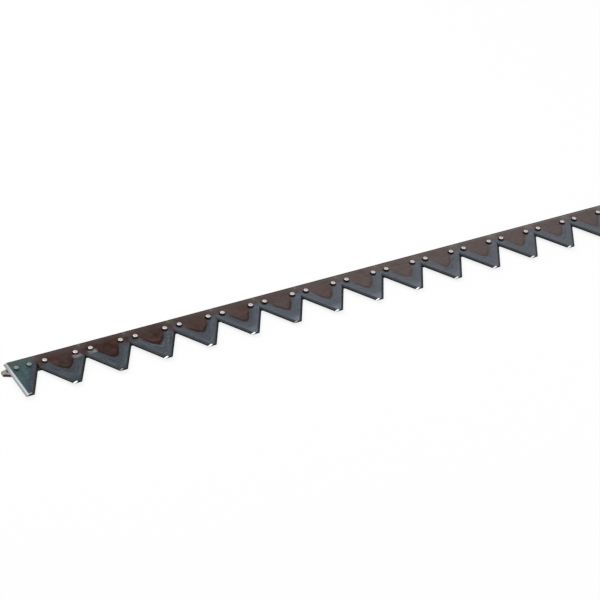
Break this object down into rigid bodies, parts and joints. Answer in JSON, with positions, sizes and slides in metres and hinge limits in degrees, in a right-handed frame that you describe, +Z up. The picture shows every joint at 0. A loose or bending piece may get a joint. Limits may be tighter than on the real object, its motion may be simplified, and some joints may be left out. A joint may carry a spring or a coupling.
{
  "type": "sickle-bar mower knife",
  "caption": "Mower knife: flat triangular sections with ground cutting edges, riveted side by side to a flat steel back with a tapered nose.",
  "frame": {"origin": "on the underside of the knife back, on its centre line, under the joint between the end section and the first full section", "axes": "+X along the knife away from the end section, the tips point to -Y, +Z up through the rivet heads"},
  "size_m": [1.1988, 0.081, 0.0103],
  "materials": {
    "back_steel": "plain drawn bar, dull",
    "section_steel": "dark, heat-coloured from hardening",
    "end_section_steel": "dark blue-green, thinly painted",
    "rivet_steel": "bright",
    "end_rivet_steel": "thinly painted"
  },
  "bodies": {
    "root": {"knife_back": "back_steel", "end_section": "end_section_steel", "section_01": "section_steel", "section_02": "section_steel", "section_03": "section_steel", "section_04": "section_steel", "section_05": "section_steel", "section_06": "section_steel", "section_07": "section_steel", "section_08": "section_steel", "section_09": "section_steel", "section_10": "section_steel", "section_11": "section_steel", "section_12": "section_steel", "section_13": "section_steel", "section_14": "section_steel", "section_15": "section_steel", "rivets": "rivet_steel", "end_rivets": "end_rivet_steel"}
  },
  "joints": []
}
